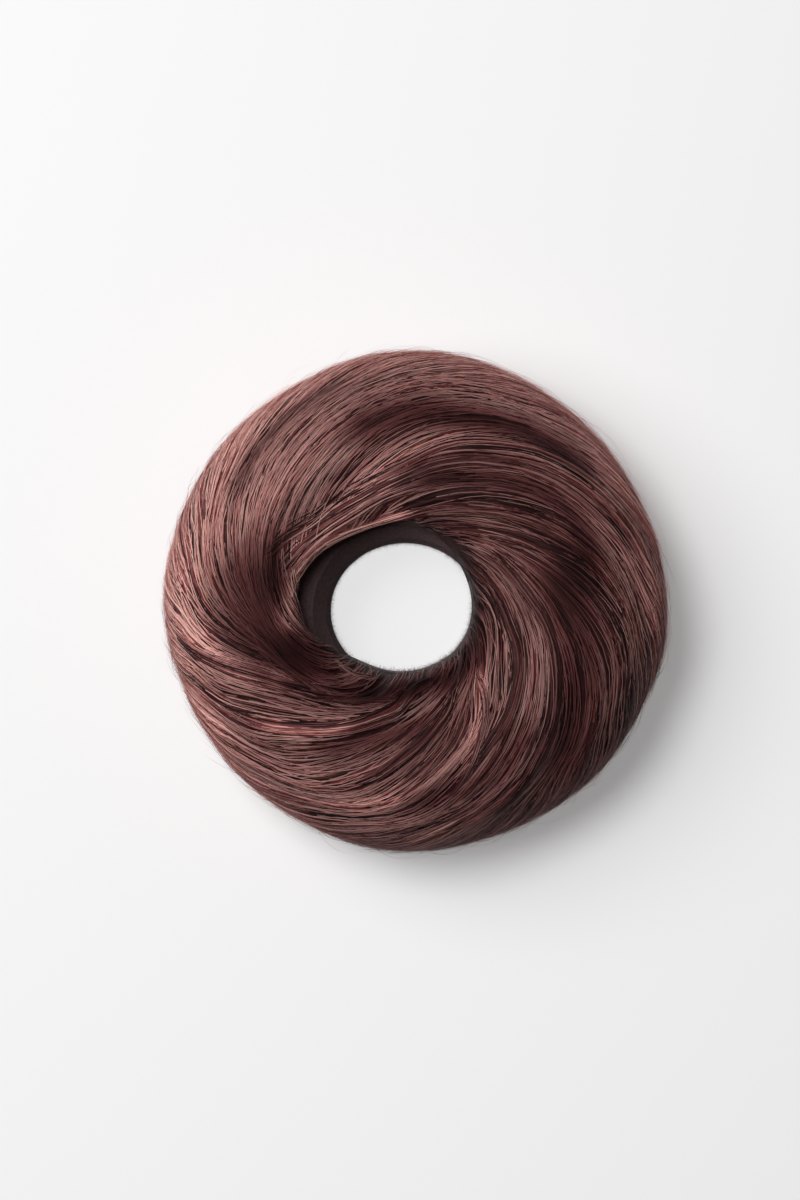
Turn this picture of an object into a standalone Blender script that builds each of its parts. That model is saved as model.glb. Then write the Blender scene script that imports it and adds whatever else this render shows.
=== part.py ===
"""A top knot hairpiece: a ring of hair wound in locks over a padded core, lying flat.

Metres, +Z up. The crown of the ring faces +Z, and the origin is below its middle, on the surface it lies on.
A clock angle is measured from +Y, clockwise as seen from above. A share runs from 0 at the edge of the hole
to 1 at the outer edge of the ring. A turn runs round the tube of the ring: 0 degrees faces the hole,
90 is the crown, 180 the outer edge and 270 the base.
"""

import bisect
import math

import bmesh
import bpy
import numpy as np

MM = 0.001

# Driving sizes of the ring
OUTER_RADIUS = 50.0 * MM
HEIGHT = 37.0 * MM
HOLE_HALF_WIDTH = 14.1 * MM
HOLE_HALF_DEPTH = 12.8 * MM
HOLE_OFF_CENTRE_X = -2.9 * MM
HOLE_OFF_CENTRE_Y = -1.3 * MM

# Thickness of the hair over the core
CROWN_HAIR = 7.0 * MM
BASE_HAIR = 6.0 * MM
OUTER_HAIR = 9.0 * MM
WALL_HAIR = 1.6 * MM

# How the hair is shaped
BASE_SAG = 1.2 * MM
LOCK_DEPTH = 2.8 * MM
LIP_ROUND = 1.6 * MM
FIT_GAP = 0.3 * MM
TUBE_FULLNESS = 0.92

# Turns round the tube, in degrees
CROWN_TURN = 90.0
OUTER_TURN = 180.0
LOCKS_FADE_TURN = 222.0
LOWER_LIP_TURN = 316.0
FULL_TURN = 360.0

# How far the columns of faces run round the ring from the hole to the outer edge, in degrees of clock angle
SWIRL = 60.0

# Faces
HAIR_COLUMNS = 100
CROWN_ROWS = 22
SIDE_ROWS = 5
FLAT_ROWS = 2
LOWER_ROWS = 2
LINING_ROWS = 11
CORE_COLUMNS = 64
CORE_ROWS = 16

# The ring's outline seen from above: clock angle, radius as a share of OUTER_RADIUS
OUTLINE = (
    (0, 0.995),
    (30, 0.970),
    (60, 0.970),
    (90, 1.000),
    (120, 1.000),
    (150, 0.995),
    (180, 1.000),
    (210, 0.990),
    (240, 0.985),
    (270, 0.998),
    (300, 0.998),
    (330, 0.985),
)

# Where the upper edge of the hair ends in the hole: clock angle, turn in degrees. A small turn covers the wall.
UPPER_LIP = (
    (0, 40),
    (20, 35),
    (40, 26),
    (60, 14),
    (90, 0),
    (120, -8),
    (180, -8),
    (205, 0),
    (222, 12),
    (240, 33),
    (256, 50),
    (275, 57),
    (300, 52),
    (320, 44),
    (340, 40),
)

# Lines that follow the locks from the hole to the outer edge. Each row has its clock angle at six shares of
# the way out, and how deep it lies below the ring's full form, as a share of LOCK_DEPTH.
LINE_SHARES = (0.0, 0.2, 0.4, 0.6, 0.8, 1.0)
LOCK_LINES = (
    # name, clock angles at LINE_SHARES, depth near the hole, depth near the outer edge
    ("upper_lock_edge", (-75, -42, -5, 20, 50, 102), 0.1, 0.0),
    ("upper_lock_crest", (-64, -28, 6, 31, 62, 106), 0.0, 0.05),
    ("upper_lock_foot", (-57, -12, 18, 44, 76, 112), 0.4, 0.6),
    ("lip_lock", (-50, 15, 48, 68, 91, 122), 0.0, 0.5),
    ("fan_crest", (-8, 42, 66, 82, 101, 132), 0.3, 0.25),
    ("fan_foot", (0, 52, 83, 101, 117, 144), 0.4, 0.55),
    ("right_hollow", (5, 59, 94, 113, 133, 165), 0.6, 1.0),
    ("long_lock_edge", (12, 68, 104, 127, 151, 190), 0.25, 0.2),
    ("long_lock_back", (18, 84, 118, 141, 164, 203), 0.45, 0.45),
    ("second_lock_edge", (34, 102, 133, 154, 175, 213), 0.1, 0.35),
    ("inner_right_lock", (68, 119, 142, 163, 184, 223), 0.25, 0.3),
    ("short_lock", (100, 134, 151, 171, 191, 232), 0.0, 0.2),
    ("short_lock_foot", (110, 144, 163, 180, 199, 239), 0.6, 0.45),
    ("lower_fan", (122, 154, 177, 191, 208, 246), 0.4, 0.2),
    ("lower_hollow", (130, 172, 196, 211, 225, 252), 0.85, 0.75),
    ("crossing_lock", (140, 185, 209, 227, 240, 258), 0.3, 0.1),
    ("left_lock_crest", (160, 192, 223, 238, 248, 264), 0.2, 0.0),
    ("left_lock_edge", (178, 199, 235, 247, 257, 272), 0.2, 0.0),
    ("left_hollow", (192, 212, 247, 259, 270, 291), 0.65, 0.75),
    ("left_back", (206, 224, 259, 277, 301, 348), 0.8, 0.4),
    ("left_face", (216, 235, 269, 300, 338, 390), 0.7, 0.05),
    ("upper_left_crest", (227, 248, 282, 320, 361, 418), 0.4, 0.05),
    ("parting", (242, 266, 298, 335, 374, 430), 0.9, 0.3),
    ("upper_left_foot", (257, 285, 318, 347, 384, 438), 0.3, 0.2),
    ("upper_hollow", (270, 302, 340, 365, 394, 444), 0.45, 0.6),
)


def smooth_through(at, places, values):
    """A smooth curve through values at places, read at at, with its slopes taken from the neighbours."""
    places = np.asarray(places, float)
    values = np.asarray(values, float)
    slopes = np.gradient(values, places)
    at = np.clip(at, places[0], places[-1])
    low = np.clip(np.searchsorted(places, at, side="right") - 1, 0, len(places) - 2)
    width = places[low + 1] - places[low]
    t = (at - places[low]) / width
    start = values[low] * (2 * t**3 - 3 * t**2 + 1) + slopes[low] * width * (t**3 - 2 * t**2 + t)
    end = values[low + 1] * (3 * t**2 - 2 * t**3) + slopes[low + 1] * width * (t**3 - t**2)
    return start + end


def round_the_clock(clock, table):
    """A table of (clock angle, value) rows, read smoothly all the way round."""
    rows = [(a - FULL_TURN, v) for a, v in table] + list(table) + [(a + FULL_TURN, v) for a, v in table]
    return smooth_through(clock % FULL_TURN, [a for a, v in rows], [v for a, v in rows])


def ramp(value, start, end):
    """0 at start and 1 at end, with a soft rise between them."""
    t = min(max((value - start) / (end - start), 0.0), 1.0)
    return t * t * (3 - 2 * t)


def heading(clock):
    """The direction of a clock angle, seen from above."""
    return np.array([math.sin(math.radians(clock)), math.cos(math.radians(clock))])


def oval_radius(clock, half_width, half_depth):
    x, y = heading(clock)
    return 1 / math.hypot(x / half_width, y / half_depth)


HOLE_CENTRE = np.array([HOLE_OFF_CENTRE_X, HOLE_OFF_CENTRE_Y])

# The tube of the ring: its section is a full oval whose underside sags onto the surface.
TUBE_HALF_HEIGHT = (HEIGHT + BASE_SAG) / 2
TUBE_MIDDLE_Z = HEIGHT - TUBE_HALF_HEIGHT
FLAT_REACH = math.degrees(math.asin((TUBE_MIDDLE_Z / TUBE_HALF_HEIGHT) ** (1 / TUBE_FULLNESS)))
FLAT_START_TURN = OUTER_TURN + FLAT_REACH
FLAT_END_TURN = FULL_TURN - FLAT_REACH

# The core fills the tube inside the hair. Its hole lies a little to the side where no hair covers its wall.
NARROWEST_TUBE = OUTER_RADIUS - math.hypot(HOLE_OFF_CENTRE_X, HOLE_OFF_CENTRE_Y) - HOLE_HALF_WIDTH
CORE_HALF_WIDTH = (NARROWEST_TUBE - OUTER_HAIR) / 2
CORE_HALF_HEIGHT = (HEIGHT - CROWN_HAIR - BASE_HAIR) / 2
CORE_MIDDLE_Z = BASE_HAIR + CORE_HALF_HEIGHT
CORE_CENTRE = HOLE_CENTRE + np.array([WALL_HAIR, -WALL_HAIR]) / 2
CORE_HOLE_HALF_WIDTH = HOLE_HALF_WIDTH + WALL_HAIR / 2
CORE_HOLE_HALF_DEPTH = HOLE_HALF_DEPTH + WALL_HAIR / 2


def plan_point(clock, share):
    """A point seen from above, on the straight line from the hole's edge to the ring's outline."""
    hole = oval_radius(clock, HOLE_HALF_WIDTH, HOLE_HALF_DEPTH)
    outline = OUTER_RADIUS * round_the_clock(clock, OUTLINE)
    return HOLE_CENTRE * (1 - share) + heading(clock) * (hole + (outline - hole) * share)


def full_power(value):
    return math.copysign(abs(value) ** TUBE_FULLNESS, value)


def share_at_turn(turn):
    return (1 - full_power(math.cos(math.radians(turn)))) / 2


def tube_point(clock, turn, depth):
    """A point of the tube's surface, sunk by depth below its full form and pressed flat at the base."""
    share = share_at_turn(turn)
    x, y = plan_point(clock, share)
    z = TUBE_MIDDLE_Z + TUBE_HALF_HEIGHT * full_power(math.sin(math.radians(turn)))
    sunk = heading(clock) * math.cos(math.radians(turn)) * depth
    return np.array([x + sunk[0], y + sunk[1], max(z - math.sin(math.radians(turn)) * depth, 0.0)])


def lock_depth(clock, share):
    """How deep the hair lies below its full form, rounded from each lock line to the next."""
    lines = [smooth_through(share, LINE_SHARES, clocks) for _, clocks, _, _ in LOCK_LINES]
    lines.append(lines[0] + FULL_TURN)
    clock = lines[0] + (clock - lines[0]) % FULL_TURN
    place = bisect.bisect_right(lines, clock) - 1
    across = ramp(clock, lines[place], lines[place + 1])
    outward = ramp(share, LINE_SHARES[1], LINE_SHARES[4])
    this_line, next_line = (
        near_hole + (near_edge - near_hole) * outward
        for _, _, near_hole, near_edge in (LOCK_LINES[place], LOCK_LINES[(place + 1) % len(LOCK_LINES)])
    )
    return LOCK_DEPTH * (this_line + (next_line - this_line) * across)


def crown_point(start_clock, way):
    """A point on the upper side of the hair, way 0 at the lip in the hole and 1 at the outer edge."""
    clock = start_clock + SWIRL * share_at_turn(OUTER_TURN * way)
    lip = round_the_clock(clock, UPPER_LIP)
    turn = OUTER_TURN * way + lip * (1 - way) ** 2
    rise = ramp(turn, lip, lip + CROWN_TURN / 2) * (1 - ramp(turn, CROWN_TURN, LOCKS_FADE_TURN))
    return tube_point(clock, turn, rise * lock_depth(clock, share_at_turn(turn)))


def under_point(start_clock, turn):
    """A point on the underside of the hair, past the outer edge."""
    rise = 1 - ramp(turn, CROWN_TURN, LOCKS_FADE_TURN)
    clock = start_clock + SWIRL
    return tube_point(clock, turn, rise * lock_depth(clock, 1.0))


def core_point(clock, turn, gap):
    """A point round the core, gap above its surface."""
    x, y = heading(clock)
    middle = oval_radius(clock, CORE_HOLE_HALF_WIDTH, CORE_HOLE_HALF_DEPTH) + CORE_HALF_WIDTH
    radius = middle - (CORE_HALF_WIDTH + gap) * math.cos(math.radians(turn))
    z = CORE_MIDDLE_Z + (CORE_HALF_HEIGHT + gap) * math.sin(math.radians(turn))
    return np.array([CORE_CENTRE[0] + x * radius, CORE_CENTRE[1] + y * radius, z])


def seen_from_core(point):
    """The clock angle, turn and gap above the core's surface of a point near it."""
    x, y = point[:2] - CORE_CENTRE
    clock = math.degrees(math.atan2(x, y))
    middle = oval_radius(clock, CORE_HOLE_HALF_WIDTH, CORE_HOLE_HALF_DEPTH) + CORE_HALF_WIDTH
    inward = (middle - math.hypot(x, y)) / CORE_HALF_WIDTH
    upward = (point[2] - CORE_MIDDLE_Z) / CORE_HALF_HEIGHT
    reach = math.hypot(inward, upward)
    gap = (reach - 1) * (CORE_HALF_WIDTH + CORE_HALF_HEIGHT) / 2
    return clock, math.degrees(math.atan2(upward, inward)), gap


def unrolled(angles):
    """Clock angles all the way round, each moved by whole rounds to follow the one before."""
    return np.degrees(np.unwrap(np.radians(angles)))


def lip_rings(points, bulge_way):
    """The rounded edge between the outer surface of the hair and its lining: a middle ring, and the lining's end."""
    middle, end = [], []
    for point in points:
        clock, turn, thickness = seen_from_core(point)
        round_out = min(LIP_ROUND, (thickness - FIT_GAP) / 2)
        bulge = math.degrees(round_out / (CORE_HALF_WIDTH + thickness / 2))
        middle.append(core_point(clock, turn + bulge_way * bulge, (thickness + FIT_GAP) / 2))
        end.append((clock, turn))
    return middle, end


def hair_sections():
    """The rings of points of the hair, in order round its wall, and how far the last is shifted against the first."""
    count = HAIR_COLUMNS
    clocks = [FULL_TURN * i / count for i in range(count)]
    rings = []
    for row in range(CROWN_ROWS + 1):
        rings.append([crown_point(clock, row / CROWN_ROWS) for clock in clocks])
    turns = list(np.linspace(OUTER_TURN, FLAT_START_TURN, SIDE_ROWS + 1)[1:])
    turns += list(np.linspace(FLAT_START_TURN, FLAT_END_TURN, FLAT_ROWS + 1)[1:])
    turns += list(np.linspace(FLAT_END_TURN, LOWER_LIP_TURN, LOWER_ROWS + 1)[1:])
    for turn in turns:
        rings.append([under_point(clock, turn) for clock in clocks])

    lower_middle, lower_end = lip_rings(rings[-1], bulge_way=1)
    upper_middle, upper_end = lip_rings(rings[0], bulge_way=-1)
    lower_clock = unrolled([clock for clock, _ in lower_end])
    upper_clock = unrolled([clock for clock, _ in upper_end])
    shift = min(
        range(count),
        key=lambda s: abs(math.remainder(np.mean(lower_clock) - np.mean(unrolled(np.roll(upper_clock, -s))), FULL_TURN)),
    )
    rings.append(lower_middle)

    # The lining runs back round the core, from the lower lip to the upper one. Its flat faces clear the core.
    half_step = FULL_TURN / LINING_ROWS / 2
    clearance = (CORE_HALF_WIDTH + FIT_GAP) / math.cos(math.radians(half_step)) - CORE_HALF_WIDTH
    target_clock = unrolled(np.roll(upper_clock, -shift))
    target_turn = np.roll([turn for _, turn in upper_end], -shift)
    target_clock += FULL_TURN * round((np.mean(lower_clock) - np.mean(target_clock)) / FULL_TURN)
    for row in range(LINING_ROWS + 1):
        back = row / LINING_ROWS
        ring = []
        for i in range(count):
            start_turn = lower_end[i][1] % FULL_TURN
            turn = start_turn + (target_turn[i] - start_turn) * back
            clock = lower_clock[i] + (target_clock[i] - lower_clock[i]) * back
            ring.append(core_point(clock, turn, clearance))
        rings.append(ring)
    rings.append(list(np.roll(np.array(upper_middle), -shift, axis=0)))
    return rings, shift


def wall_mesh(name, rings, shift=0):
    """A closed wall through rings of points. The last ring joins the first, shift columns on."""
    shape = bmesh.new()
    made = [[shape.verts.new(point) for point in ring] for ring in rings]
    first = made[0][shift:] + made[0][:shift]
    count = len(first)
    for ring, following in zip(made, made[1:] + [first]):
        for i in range(count):
            j = (i + 1) % count
            # The diagonal runs the way the locks do.
            shape.faces.new((ring[i], following[i], following[j]))
            shape.faces.new((ring[i], following[j], ring[j]))
    bmesh.ops.recalc_face_normals(shape, faces=shape.faces)
    mesh = bpy.data.meshes.new(name)
    shape.to_mesh(mesh)
    shape.free()
    mesh.shade_smooth()
    return mesh


def material(name, red, green, blue, roughness):
    made = bpy.data.materials.new(name)
    made.use_nodes = True
    surface = made.node_tree.nodes["Principled BSDF"]
    surface.inputs["Base Color"].default_value = (red, green, blue, 1.0)
    surface.inputs["Roughness"].default_value = roughness
    made.diffuse_color = (red, green, blue, 1.0)
    return made


def add_node(name, mesh, finish):
    mesh.materials.append(finish)
    node = bpy.data.objects.new(name, mesh)
    bpy.context.scene.collection.objects.link(node)
    return node


def core_rings():
    turns = [FULL_TURN * i / CORE_ROWS for i in range(CORE_ROWS)]
    clocks = [FULL_TURN * i / CORE_COLUMNS for i in range(CORE_COLUMNS)]
    return [[core_point(clock, turn, 0.0) for clock in clocks] for turn in turns]


def main():
    for old in list(bpy.data.objects):
        bpy.data.objects.remove(old, do_unlink=True)
    rings, shift = hair_sections()
    hair = wall_mesh("hair_ring", rings, shift)
    core = wall_mesh("core_ring", core_rings())

    # The origin lies below the middle of the ring's outline.
    plan = np.array([point[:2] for ring in rings for point in ring])
    middle = (plan.min(axis=0) + plan.max(axis=0)) / 2
    for mesh in (hair, core):
        for vertex in mesh.vertices:
            vertex.co.x -= middle[0]
            vertex.co.y -= middle[1]

    add_node("hair_ring", hair, material("dark_red_brown_hair", 0.10, 0.035, 0.033, 0.45))
    add_node("core_ring", core, material("dark_brown_padding", 0.012, 0.008, 0.008, 0.8))


main()
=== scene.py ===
"""The looks of a top knot hairpiece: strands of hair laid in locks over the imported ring, its dark padded
core, a pale floor, soft light and a camera that looks straight down.

Metres, +Z up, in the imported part's own frame. A clock angle is measured from +Y, clockwise as seen from
above. A share runs from 0 at the edge of the hole to 1 at the ring's outline, seen from above. A turn runs
round the tube of the ring: 0 degrees faces the hole, 90 is the crown, 180 the outline and 270 the base.
"""

import math

import bpy
import numpy as np
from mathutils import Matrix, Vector
from mathutils.bvhtree import BVHTree


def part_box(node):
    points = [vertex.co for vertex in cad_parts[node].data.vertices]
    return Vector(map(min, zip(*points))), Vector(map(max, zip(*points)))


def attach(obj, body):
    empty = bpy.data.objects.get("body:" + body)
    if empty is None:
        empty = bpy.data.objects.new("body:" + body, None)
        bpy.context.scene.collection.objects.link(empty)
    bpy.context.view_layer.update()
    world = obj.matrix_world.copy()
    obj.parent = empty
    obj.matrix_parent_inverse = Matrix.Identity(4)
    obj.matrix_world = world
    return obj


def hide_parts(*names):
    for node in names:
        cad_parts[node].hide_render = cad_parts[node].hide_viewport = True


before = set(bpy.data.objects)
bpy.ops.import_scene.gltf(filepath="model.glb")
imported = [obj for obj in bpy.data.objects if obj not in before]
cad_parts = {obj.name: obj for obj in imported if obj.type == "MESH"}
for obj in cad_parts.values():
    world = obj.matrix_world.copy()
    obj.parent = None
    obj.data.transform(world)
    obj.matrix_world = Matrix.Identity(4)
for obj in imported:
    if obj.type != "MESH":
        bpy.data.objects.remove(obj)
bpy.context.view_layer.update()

MM = 0.001
ROUND = 360.0
CROWN_TURN = 90.0
OUTLINE_TURN = 180.0
TINY = 1e-12
SEED = 20

# The ring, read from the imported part. The hole's edge is an oval, a little to one side of the core's middle.
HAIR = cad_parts["hair_ring"]
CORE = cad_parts["core_ring"]
RING_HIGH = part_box("hair_ring")[1]
CORE_LOW, CORE_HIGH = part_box("core_ring")
HOLE_OFFSET = 0.8 * MM
HOLE_CENTRE = np.array(
    [(CORE_LOW.x + CORE_HIGH.x) / 2 - HOLE_OFFSET, (CORE_LOW.y + CORE_HIGH.y) / 2 + HOLE_OFFSET]
)
HOLE_HALF_WIDTH = 14.1 * MM
HOLE_HALF_DEPTH = 12.8 * MM
BASE_SAG = 1.2 * MM
TUBE_HALF_HEIGHT = (RING_HIGH.z + BASE_SAG) / 2
TUBE_MIDDLE_Z = RING_HIGH.z - TUBE_HALF_HEIGHT
TUBE_FULLNESS = 0.92

# The surface is read at these steps of clock angle and turn, by rays that start clear of the hair.
CLOCK_STEP = 1.5
TURN_STEP = 2.5
FIRST_TURN = -30.0
LAST_TURN = 330.0
CLOCKS = np.arange(0.0, ROUND, CLOCK_STEP)
TURNS = np.arange(FIRST_TURN, LAST_TURN + TURN_STEP / 2, TURN_STEP)
INSIDE_LAST_STEP = len(TURNS) - 1.001
CLEAR_OF_HAIR = 4.0 * MM
PAST_RING = 1.2
SMOOTHINGS = 2
DEGREE = 1.0
LEAST_STEP = 0.02 * MM

# The lines that the locks follow from the hole to the outline: the clock angle at each of these shares
LINE_SHARES = (0.0, 0.2, 0.4, 0.6, 0.8, 1.0)
LOCK_LINES = (
    (-75, -42, -5, 20, 50, 102),
    (-64, -28, 6, 31, 62, 106),
    (-57, -12, 18, 44, 76, 112),
    (-50, 15, 48, 68, 91, 122),
    (-8, 42, 66, 82, 101, 132),
    (0, 52, 83, 101, 117, 144),
    (5, 59, 94, 113, 133, 165),
    (12, 68, 104, 127, 151, 190),
    (18, 84, 118, 141, 164, 203),
    (34, 102, 133, 154, 175, 213),
    (68, 119, 142, 163, 184, 223),
    (100, 134, 151, 171, 191, 232),
    (110, 144, 163, 180, 199, 239),
    (122, 154, 177, 191, 208, 246),
    (130, 172, 196, 211, 225, 252),
    (140, 185, 209, 227, 240, 258),
    (160, 192, 223, 238, 248, 264),
    (178, 199, 235, 247, 257, 272),
    (192, 212, 247, 259, 270, 291),
    (206, 224, 259, 277, 301, 348),
    (216, 235, 269, 300, 338, 390),
    (227, 248, 282, 320, 361, 418),
    (242, 266, 298, 335, 374, 430),
    (257, 285, 318, 347, 384, 438),
    (270, 302, 340, 365, 394, 444),
)
FINE_SHARES = np.linspace(0.0, 1.0, 101)

# From this turn the lines are read evenly up to the outline. Below it the hair runs on round the ring by this
# many degrees of clock angle for each degree of turn.
EVEN_FROM_TURN = 140.0
EDGE_RUN = 0.62

# Single locks that lie on top: places as (clock angle, share), the half width in mm, the number of strands,
# how high the lock stands in mm, and its tone from 0 dark to 1 pale.
LOCKS = (
    # name, places, half width, strands, height, tone
    ("upper_lock_rim", ((318, 0.31), (335, 0.32), (350, 0.36), (0, 0.41), (10, 0.50), (20, 0.585),
                        (30, 0.655), (40, 0.73), (50, 0.79), (60, 0.845), (70, 0.895), (80, 0.935),
                        (90, 0.965), (102, 1.0)),
     1.3, 200, 1.0, 0.52),
    ("upper_lock", ((296, 0.30), (315, 0.285), (335, 0.285), (350, 0.32), (0, 0.36), (10, 0.43), (20, 0.50),
                    (30, 0.57), (40, 0.65), (50, 0.72), (60, 0.78), (70, 0.84), (82, 0.90), (95, 0.96)),
     2.8, 260, 0.8, 0.46),
    ("lip_lock", ((276, 0.34), (284, 0.31), (292, 0.28), (300, 0.26), (310, 0.235), (320, 0.225),
                  (330, 0.225), (340, 0.24), (350, 0.26), (0, 0.285), (10, 0.32), (20, 0.37), (30, 0.43),
                  (40, 0.49)),
     2.2, 240, 0.7, 0.52),
    ("lip_edge", ((266, 0.28), (280, 0.235), (290, 0.215), (300, 0.195), (310, 0.168), (320, 0.145),
                  (330, 0.13), (340, 0.125), (350, 0.13), (0, 0.145), (10, 0.18), (20, 0.22), (30, 0.265),
                  (37, 0.30), (45, 0.37), (53, 0.45), (60, 0.53), (68, 0.60)),
     1.1, 170, 0.5, 0.56),
    ("parting_strands", ((284, 0.47), (290, 0.425), (298, 0.375), (305, 0.34), (313, 0.315), (322, 0.31),
                         (332, 0.325), (344, 0.36)),
     2.6, 46, 0.7, 0.56),
    ("parting_upper", ((284, 0.41), (295, 0.45), (300, 0.49), (310, 0.525), (320, 0.57), (335, 0.65),
                       (350, 0.72), (2, 0.79)),
     3.0, 44, 0.4, 0.56),
    ("pale_fan", ((12, 0.10), (24, 0.12), (34, 0.16), (44, 0.21), (52, 0.27), (60, 0.35), (70, 0.47),
                  (78, 0.60), (88, 0.75)),
     3.0, 130, 0.5, 0.54),
    ("long_red_lock", ((38, 0.10), (50, 0.14), (60, 0.18), (70, 0.21), (80, 0.25), (90, 0.31), (100, 0.38),
                       (110, 0.46), (120, 0.55), (130, 0.64), (138, 0.70), (145, 0.76), (155, 0.84),
                       (165, 0.90), (176, 0.95)),
     1.3, 110, 0.8, 0.50),
    ("second_lock", ((40, 0.02), (60, 0.065), (80, 0.12), (100, 0.19), (112, 0.27), (120, 0.32), (130, 0.38),
                     (140, 0.45), (150, 0.52), (160, 0.60), (172, 0.70)),
     1.6, 120, 0.8, 0.48),
    ("short_lock", ((131, 0.13), (134, 0.19), (138, 0.27), (144, 0.36), (150, 0.44), (155, 0.52), (163, 0.64),
                    (170, 0.73), (180, 0.83)),
     0.9, 70, 0.7, 0.60),
    ("inner_short_lock", ((146, 0.12), (155, 0.21), (165, 0.30), (175, 0.39), (185, 0.51), (192, 0.61),
                          (202, 0.73)),
     1.6, 100, 0.7, 0.52),
    ("crossing_lock", ((145, 0.03), (160, 0.06), (170, 0.09), (178, 0.14), (185, 0.20), (195, 0.27),
                       (205, 0.36), (213, 0.44), (222, 0.55), (228, 0.64), (238, 0.78), (247, 0.90)),
     1.6, 130, 0.9, 0.48),
    ("low_strands", ((178, 0.13), (185, 0.15), (195, 0.17), (203, 0.20), (210, 0.24), (220, 0.29),
                     (235, 0.34), (245, 0.38)),
     1.3, 60, 0.8, 0.56),
    ("hole_tuft", ((196, 0.035), (204, 0.045), (210, 0.055), (218, 0.075), (226, 0.085), (238, 0.10)),
     0.9, 50, 0.5, 0.72),
    ("left_lock", ((205, 0.20), (215, 0.26), (224, 0.33), (232, 0.39), (239, 0.47), (245, 0.57), (251, 0.70),
                   (257, 0.83), (262, 0.93), (268, 1.0)),
     2.0, 160, 0.9, 0.56),
)

# Painted shade and painted highlight: lines along which the hair is painted darker, deep between locks, or
# lighter, on the locks' crests: places as (clock angle, share), how far to the sides it reaches in mm, and the
# change of light.
DARK_AND_LIGHT = (
    # name, places, reach, change
    ("over_upper_lock", ((345, 0.64), (0, 0.68), (15, 0.70), (25, 0.74), (33, 0.77), (42, 0.81), (50, 0.84)),
     3.2, -0.34),
    ("under_upper_lock", ((10, 0.33), (22, 0.385), (30, 0.43), (38, 0.50), (45, 0.555), (52, 0.615),
                          (60, 0.65), (72, 0.66)),
     2.2, -0.26),
    ("fan_gap", ((30, 0.30), (45, 0.40), (60, 0.50), (80, 0.46)), 4.0, -0.14),
    ("right_hollow", ((78, 0.59), (90, 0.53), (105, 0.59), (120, 0.69), (135, 0.80)), 5.5, -0.28),
    ("lower_right_rim", ((125, 0.93), (150, 0.93)), 5.0, -0.10),
    ("behind_red_lock", ((148, 0.78), (158, 0.83), (167, 0.88)), 2.5, -0.18),
    ("under_red_lock", ((140, 0.60), (152, 0.66), (165, 0.70), (178, 0.72)), 3.0, -0.20),
    ("hole_edge", ((90, 0.02), (120, 0.04), (140, 0.06), (160, 0.07), (180, 0.09), (195, 0.11)), 3.4, -0.32),
    ("inner_low_edge", ((112, 0.10), (130, 0.12), (150, 0.13)), 2.6, -0.16),
    ("lower_gap", ((148, 0.30), (163, 0.44), (176, 0.56)), 3.5, -0.14),
    ("bottom_gap", ((175, 0.30), (188, 0.34), (200, 0.42), (207, 0.52)), 3.5, -0.25),
    ("low_left_gap", ((205, 0.20), (220, 0.25), (235, 0.25), (248, 0.28)), 4.0, -0.14),
    ("left_hollow", ((250, 0.42), (262, 0.42), (275, 0.43), (287, 0.46)), 5.5, -0.29),
    ("left_hollow_inside", ((240, 0.27), (255, 0.28), (270, 0.29), (282, 0.32)), 3.2, -0.26),
    ("round_tuft", ((203, 0.15), (225, 0.17), (245, 0.15)), 2.2, -0.16),
    ("left_hollow_top", ((258, 0.62), (268, 0.64), (280, 0.60)), 4.0, -0.10),
    ("parting", ((286, 0.38), (292, 0.38), (300, 0.37), (312, 0.355)), 1.0, -0.20),
    ("upper_parting", ((308, 0.465), (322, 0.455), (334, 0.44)), 0.9, -0.16),
    ("upper_left_band", ((303, 0.79), (320, 0.86), (340, 0.90)), 2.6, -0.22),
    ("upper_lock_crest", ((335, 0.30), (345, 0.34), (0, 0.43), (10, 0.51), (20, 0.60), (30, 0.66), (40, 0.71),
                          (50, 0.76), (60, 0.83), (70, 0.88), (80, 0.91), (95, 0.93)),
     2.0, 0.14),
    ("left_crest", ((208, 0.38), (225, 0.61), (235, 0.75), (243, 0.83)), 1.5, 0.20),
    ("left_lock_crest", ((240, 0.45), (247, 0.61), (255, 0.73), (262, 0.81), (268, 0.88)), 1.8, 0.24),
    ("outer_left", ((240, 0.95), (280, 0.88), (300, 0.90), (330, 0.97)), 6.0, 0.24),
    ("inner_upper_left", ((290, 0.62), (305, 0.60), (322, 0.56)), 4.5, 0.10),
    ("lip_crest", ((290, 0.29), (302, 0.27), (320, 0.24), (335, 0.25), (350, 0.29)), 2.6, 0.26),
    ("lip_hem", ((262, 0.27), (280, 0.22), (300, 0.18), (320, 0.13), (340, 0.11), (358, 0.13)), 2.4, 0.50),
    ("inner_right", ((70, 0.20), (90, 0.22), (110, 0.26), (125, 0.30)), 3.0, -0.05),
    ("fan_crest", ((38, 0.25), (50, 0.29), (62, 0.36), (72, 0.44)), 2.6, 0.06),
    ("inner_right_shade", ((60, 0.32), (78, 0.36), (92, 0.42)), 4.0, -0.15),
    ("short_lock_tip", ((132, 0.17), (140, 0.27), (150, 0.39), (158, 0.52)), 1.2, 0.24),
    ("bottom_crest", ((163, 0.50), (172, 0.60), (180, 0.67), (190, 0.74), (200, 0.80)), 1.4, 0.14),
    ("crossing_crest", ((185, 0.20), (195, 0.27), (205, 0.36), (213, 0.45), (222, 0.56), (230, 0.68)),
     1.3, 0.24),
)
POINTS_ON_LINE = 40

# Painted light along the outline: how much lighter the hair is painted there, or darker where the change is
# below 0, as the light falls on it: clock angle, change of light
RIM_LIGHT = (
    (0, 0.40),
    (40, 0.50),
    (75, 0.32),
    (110, -0.04),
    (150, 0.00),
    (185, -0.08),
    (215, 0.20),
    (250, 0.26),
    (290, 0.42),
    (330, 0.50),
    (360, 0.40),
)
RIM_TURNS = (128.0, 182.0)
BELOW_RIM_TURNS = (186.0, 230.0)

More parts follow.
